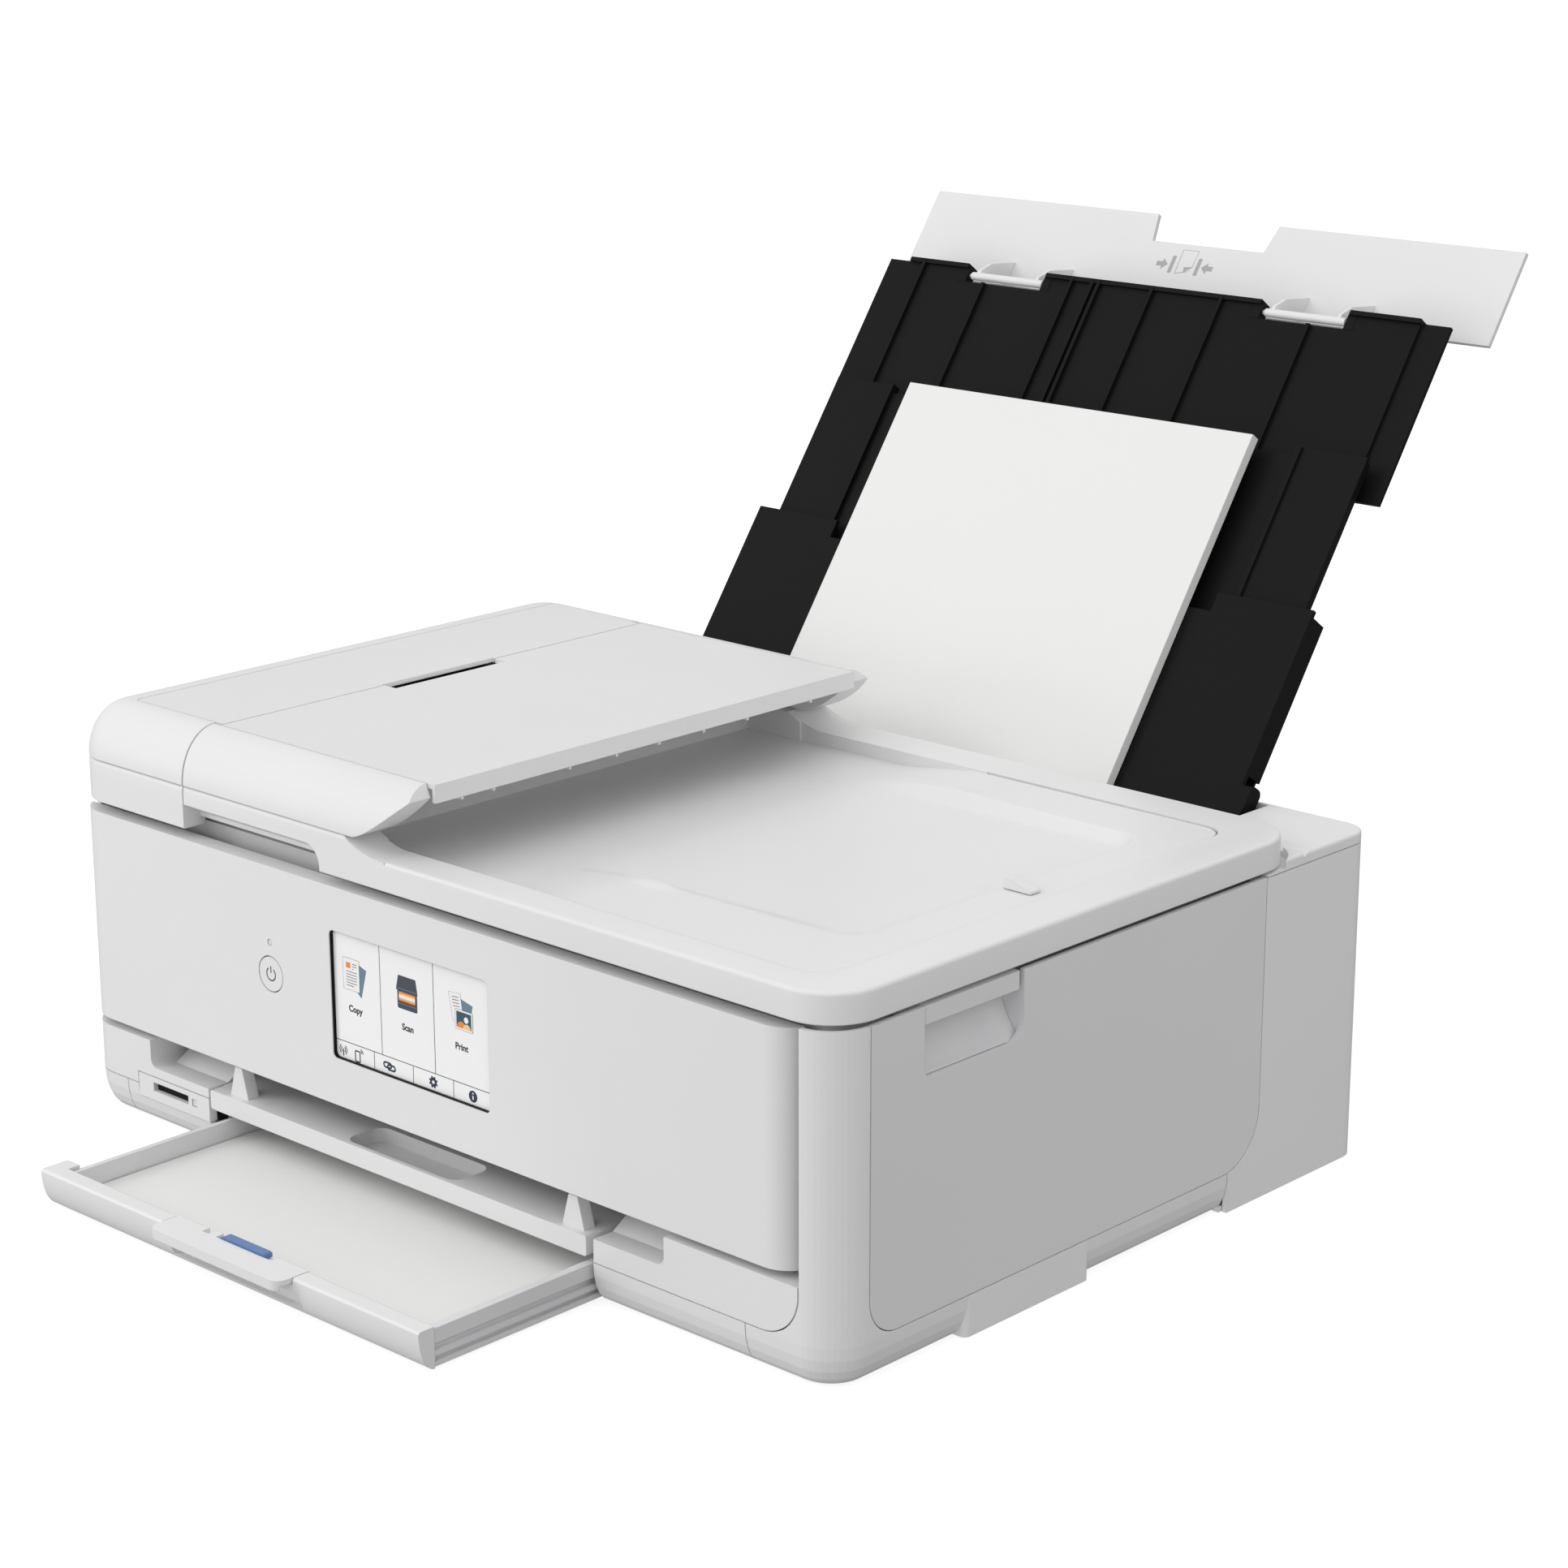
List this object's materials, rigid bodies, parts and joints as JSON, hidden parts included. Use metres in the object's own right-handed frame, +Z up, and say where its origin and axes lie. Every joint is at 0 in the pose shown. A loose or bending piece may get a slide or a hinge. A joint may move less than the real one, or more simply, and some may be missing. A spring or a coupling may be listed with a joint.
{
  "type": "inkjet printer",
  "caption": "Desktop inkjet printer with flatbed scanner, lid-top document feeder, front cassette, output tray, tilting touch panel and telescopic rear paper support.",
  "frame": {"origin": "on the table, below the middle of the whole printer seen from above, cassette pulled out and paper support leaning back", "axes": "+Z up, +Y from the front to the back, +X to the right for a person facing the front"},
  "size_m": [0.468, 0.6378, 0.3772],
  "materials": {
    "shell_white": "fine-textured matte white",
    "shell_grey": "fine-textured matte light grey",
    "black_plastic": "fine-textured matte black",
    "display": "smooth display window",
    "lens": "clear lamp lens",
    "glass": "clear float glass",
    "steel": "plated steel",
    "rubber": "matte rubber",
    "paper": "uncoated paper",
    "blue_plastic": "matte blue",
    "circuit_board": "solder mask",
    "black_ink": "moulded black",
    "colour_ink": "moulded blue",
    "foam": "white backing foam"
  },
  "bodies": {
    "base": {"lower_case": "shell_white", "rubber_foot_1": "rubber", "rubber_foot_2": "rubber", "rubber_foot_3": "rubber", "rubber_foot_4": "rubber", "left_lower_bezel": "shell_white", "right_lower_bezel": "shell_white", "right_front_cover": "shell_white", "left_front_cover": "shell_white", "card_slot_panel": "shell_white", "card_access_lamp": "lens", "left_side_cover": "shell_grey", "right_side_cover": "shell_grey", "rear_cover": "shell_white", "rear_cap": "shell_white", "power_inlet": "black_plastic", "usb_socket": "steel", "chassis": "steel", "carriage_rail": "steel", "carriage_belt": "rubber", "carriage_motor": "steel", "platen": "black_plastic", "maintenance_unit": "shell_grey", "main_board": "circuit_board", "power_supply": "black_plastic"},
    "front_panel": {"operation_panel": "shell_white", "panel_rear_cover": "shell_grey", "touch_screen": "display", "power_lamp": "lens"},
    "power_button": {"power_button": "shell_white"},
    "output_tray": {"output_tray": "shell_white"},
    "cassette": {"cassette_body": "shell_grey", "cassette_front": "shell_white", "cassette_handle": "shell_white", "cassette_paper": "paper"},
    "cassette_latch": {"cassette_latch": "blue_plastic"},
    "carriage": {"print_carriage": "black_plastic", "black_ink_tank": "black_ink", "colour_ink_tank": "colour_ink"},
    "drive_pulley": {"drive_pulley": "steel"},
    "idler_pulley": {"idler_pulley": "steel"},
    "feed_roller": {"feed_roller": "rubber"},
    "exit_roller": {"exit_roller": "rubber"},
    "pickup_roller": {"pickup_roller": "rubber"},
    "scanner_unit": {"scanner_frame": "shell_grey", "scan_glass": "glass", "scan_rail": "steel"},
    "scan_carriage": {"scan_carriage": "black_plastic"},
    "lid": {"document_cover": "shell_white", "document_pad": "foam", "feeder_frame": "shell_white"},
    "document_stopper": {"document_stopper": "shell_white"},
    "feeder_cover": {"feeder_cover": "shell_white"},
    "document_tray": {"document_tray": "shell_white"},
    "feeder_roller": {"feeder_roller": "rubber"},
    "lower_support": {"lower_support": "black_plastic", "rear_paper_stack": "paper"},
    "middle_support": {"middle_support": "black_plastic"},
    "upper_support": {"upper_support": "black_plastic"},
    "rear_tray_cover": {"rear_tray_cover": "shell_white"}
  },
  "joints": [
    {"name": "panel_tilt", "type": "hinge", "parent": "base", "child": "front_panel", "pos_m": [0, -0.21067, 0.1385], "axis": [-1, 0, 0], "range_deg": [0, 40]},
    {"name": "power_press", "type": "slide", "parent": "front_panel", "child": "power_button", "axis": [0, 1, 0], "range_m": [0, 0.001], "stiffness_N_per_m": 900, "springref_m": -0.0008},
    {"name": "output_tray_slide", "type": "slide", "parent": "base", "child": "output_tray", "axis": [0, -1, 0], "range_m": [0, 0.12]},
    {"name": "cassette_slide", "type": "slide", "parent": "base", "child": "cassette", "axis": [0, -1, 0], "range_m": [-0.092, 0.15]},
    {"name": "cassette_latch_slide", "type": "slide", "parent": "cassette", "child": "cassette_latch", "axis": [1, 0, 0], "range_m": [0, 0.004]},
    {"name": "carriage_slide", "type": "slide", "parent": "base", "child": "carriage", "axis": [1, 0, 0], "range_m": [-0.31, 0]},
    {"name": "drive_pulley_turn", "type": "hinge", "parent": "base", "child": "drive_pulley", "pos_m": [-0.2, 0.00283, 0.089], "axis": [0, 0, 1], "range_deg": [-3600, 3600]},
    {"name": "idler_pulley_turn", "type": "hinge", "parent": "base", "child": "idler_pulley", "pos_m": [0.2, 0.00283, 0.089], "axis": [0, 0, 1], "range_deg": [-3600, 3600]},
    {"name": "feed_roller_turn", "type": "hinge", "parent": "base", "child": "feed_roller", "pos_m": [0, -0.01117, 0.046], "axis": [1, 0, 0], "continuous": true},
    {"name": "exit_roller_turn", "type": "hinge", "parent": "base", "child": "exit_roller", "pos_m": [0, -0.07317, 0.042], "axis": [1, 0, 0], "continuous": true},
    {"name": "pickup_roller_turn", "type": "hinge", "parent": "base", "child": "pickup_roller", "pos_m": [-0.02, 0.01683, 0.0275], "axis": [1, 0, 0], "continuous": true},
    {"name": "scanner_unit_lift", "type": "hinge", "parent": "base", "child": "scanner_unit", "pos_m": [0, 0.07483, 0.1472], "axis": [1, 0, 0], "range_deg": [-22, 0]},
    {"name": "scan_carriage_slide", "type": "slide", "parent": "scanner_unit", "child": "scan_carriage", "axis": [1, 0, 0], "range_m": [0, 0.29]},
    {"name": "lid_lift", "type": "hinge", "parent": "scanner_unit", "child": "lid", "pos_m": [0, 0.07483, 0.1506], "axis": [-1, 0, 0], "range_deg": [0, 65]},
    {"name": "document_stopper_flip", "type": "hinge", "parent": "lid", "child": "document_stopper", "pos_m": [0.2052, -0.06842, 0.1616], "axis": [0, 1, 0], "range_deg": [0, 95]},
    {"name": "feeder_cover_lift", "type": "hinge", "parent": "lid", "child": "feeder_cover", "pos_m": [-0.2334, -0.07117, 0.1689], "axis": [0, 1, 0], "range_deg": [-70, 0]},
    {"name": "document_tray_lift", "type": "hinge", "parent": "lid", "child": "document_tray", "pos_m": [-0.0074, -0.07117, 0.1888], "axis": [0, -1, 0], "range_deg": [-165, 0]},
    {"name": "feeder_roller_turn", "type": "hinge", "parent": "lid", "child": "feeder_roller", "pos_m": [-0.178, -0.07117, 0.18], "axis": [0, 1, 0], "continuous": true},
    {"name": "support_tilt", "type": "hinge", "parent": "base", "child": "lower_support", "pos_m": [0, 0.11383, 0.1474], "axis": [-1, 0, 0], "range_deg": [-35.4, 0]},
    {"name": "middle_support_slide", "type": "slide", "parent": "lower_support", "child": "middle_support", "axis": [0, 0.5793, 0.8151], "range_m": [-0.072, 0]},
    {"name": "upper_support_slide", "type": "slide", "parent": "middle_support", "child": "upper_support", "axis": [0, 0.5793, 0.8151], "range_m": [-0.074, 0]},
    {"name": "rear_tray_cover_turn", "type": "hinge", "parent": "upper_support", "child": "rear_tray_cover", "pos_m": [0, 0.26823, 0.34334], "axis": [1, 0, 0], "range_deg": [0, 90]}
  ],
  "couplings": [
    {"joint": "drive_pulley_turn", "follows": "carriage_slide", "rad_per_m": -200},
    {"joint": "idler_pulley_turn", "follows": "carriage_slide", "rad_per_m": -200},
    {"joint": "exit_roller_turn", "follows": "feed_roller_turn", "ratio": 1.2}
  ]
}
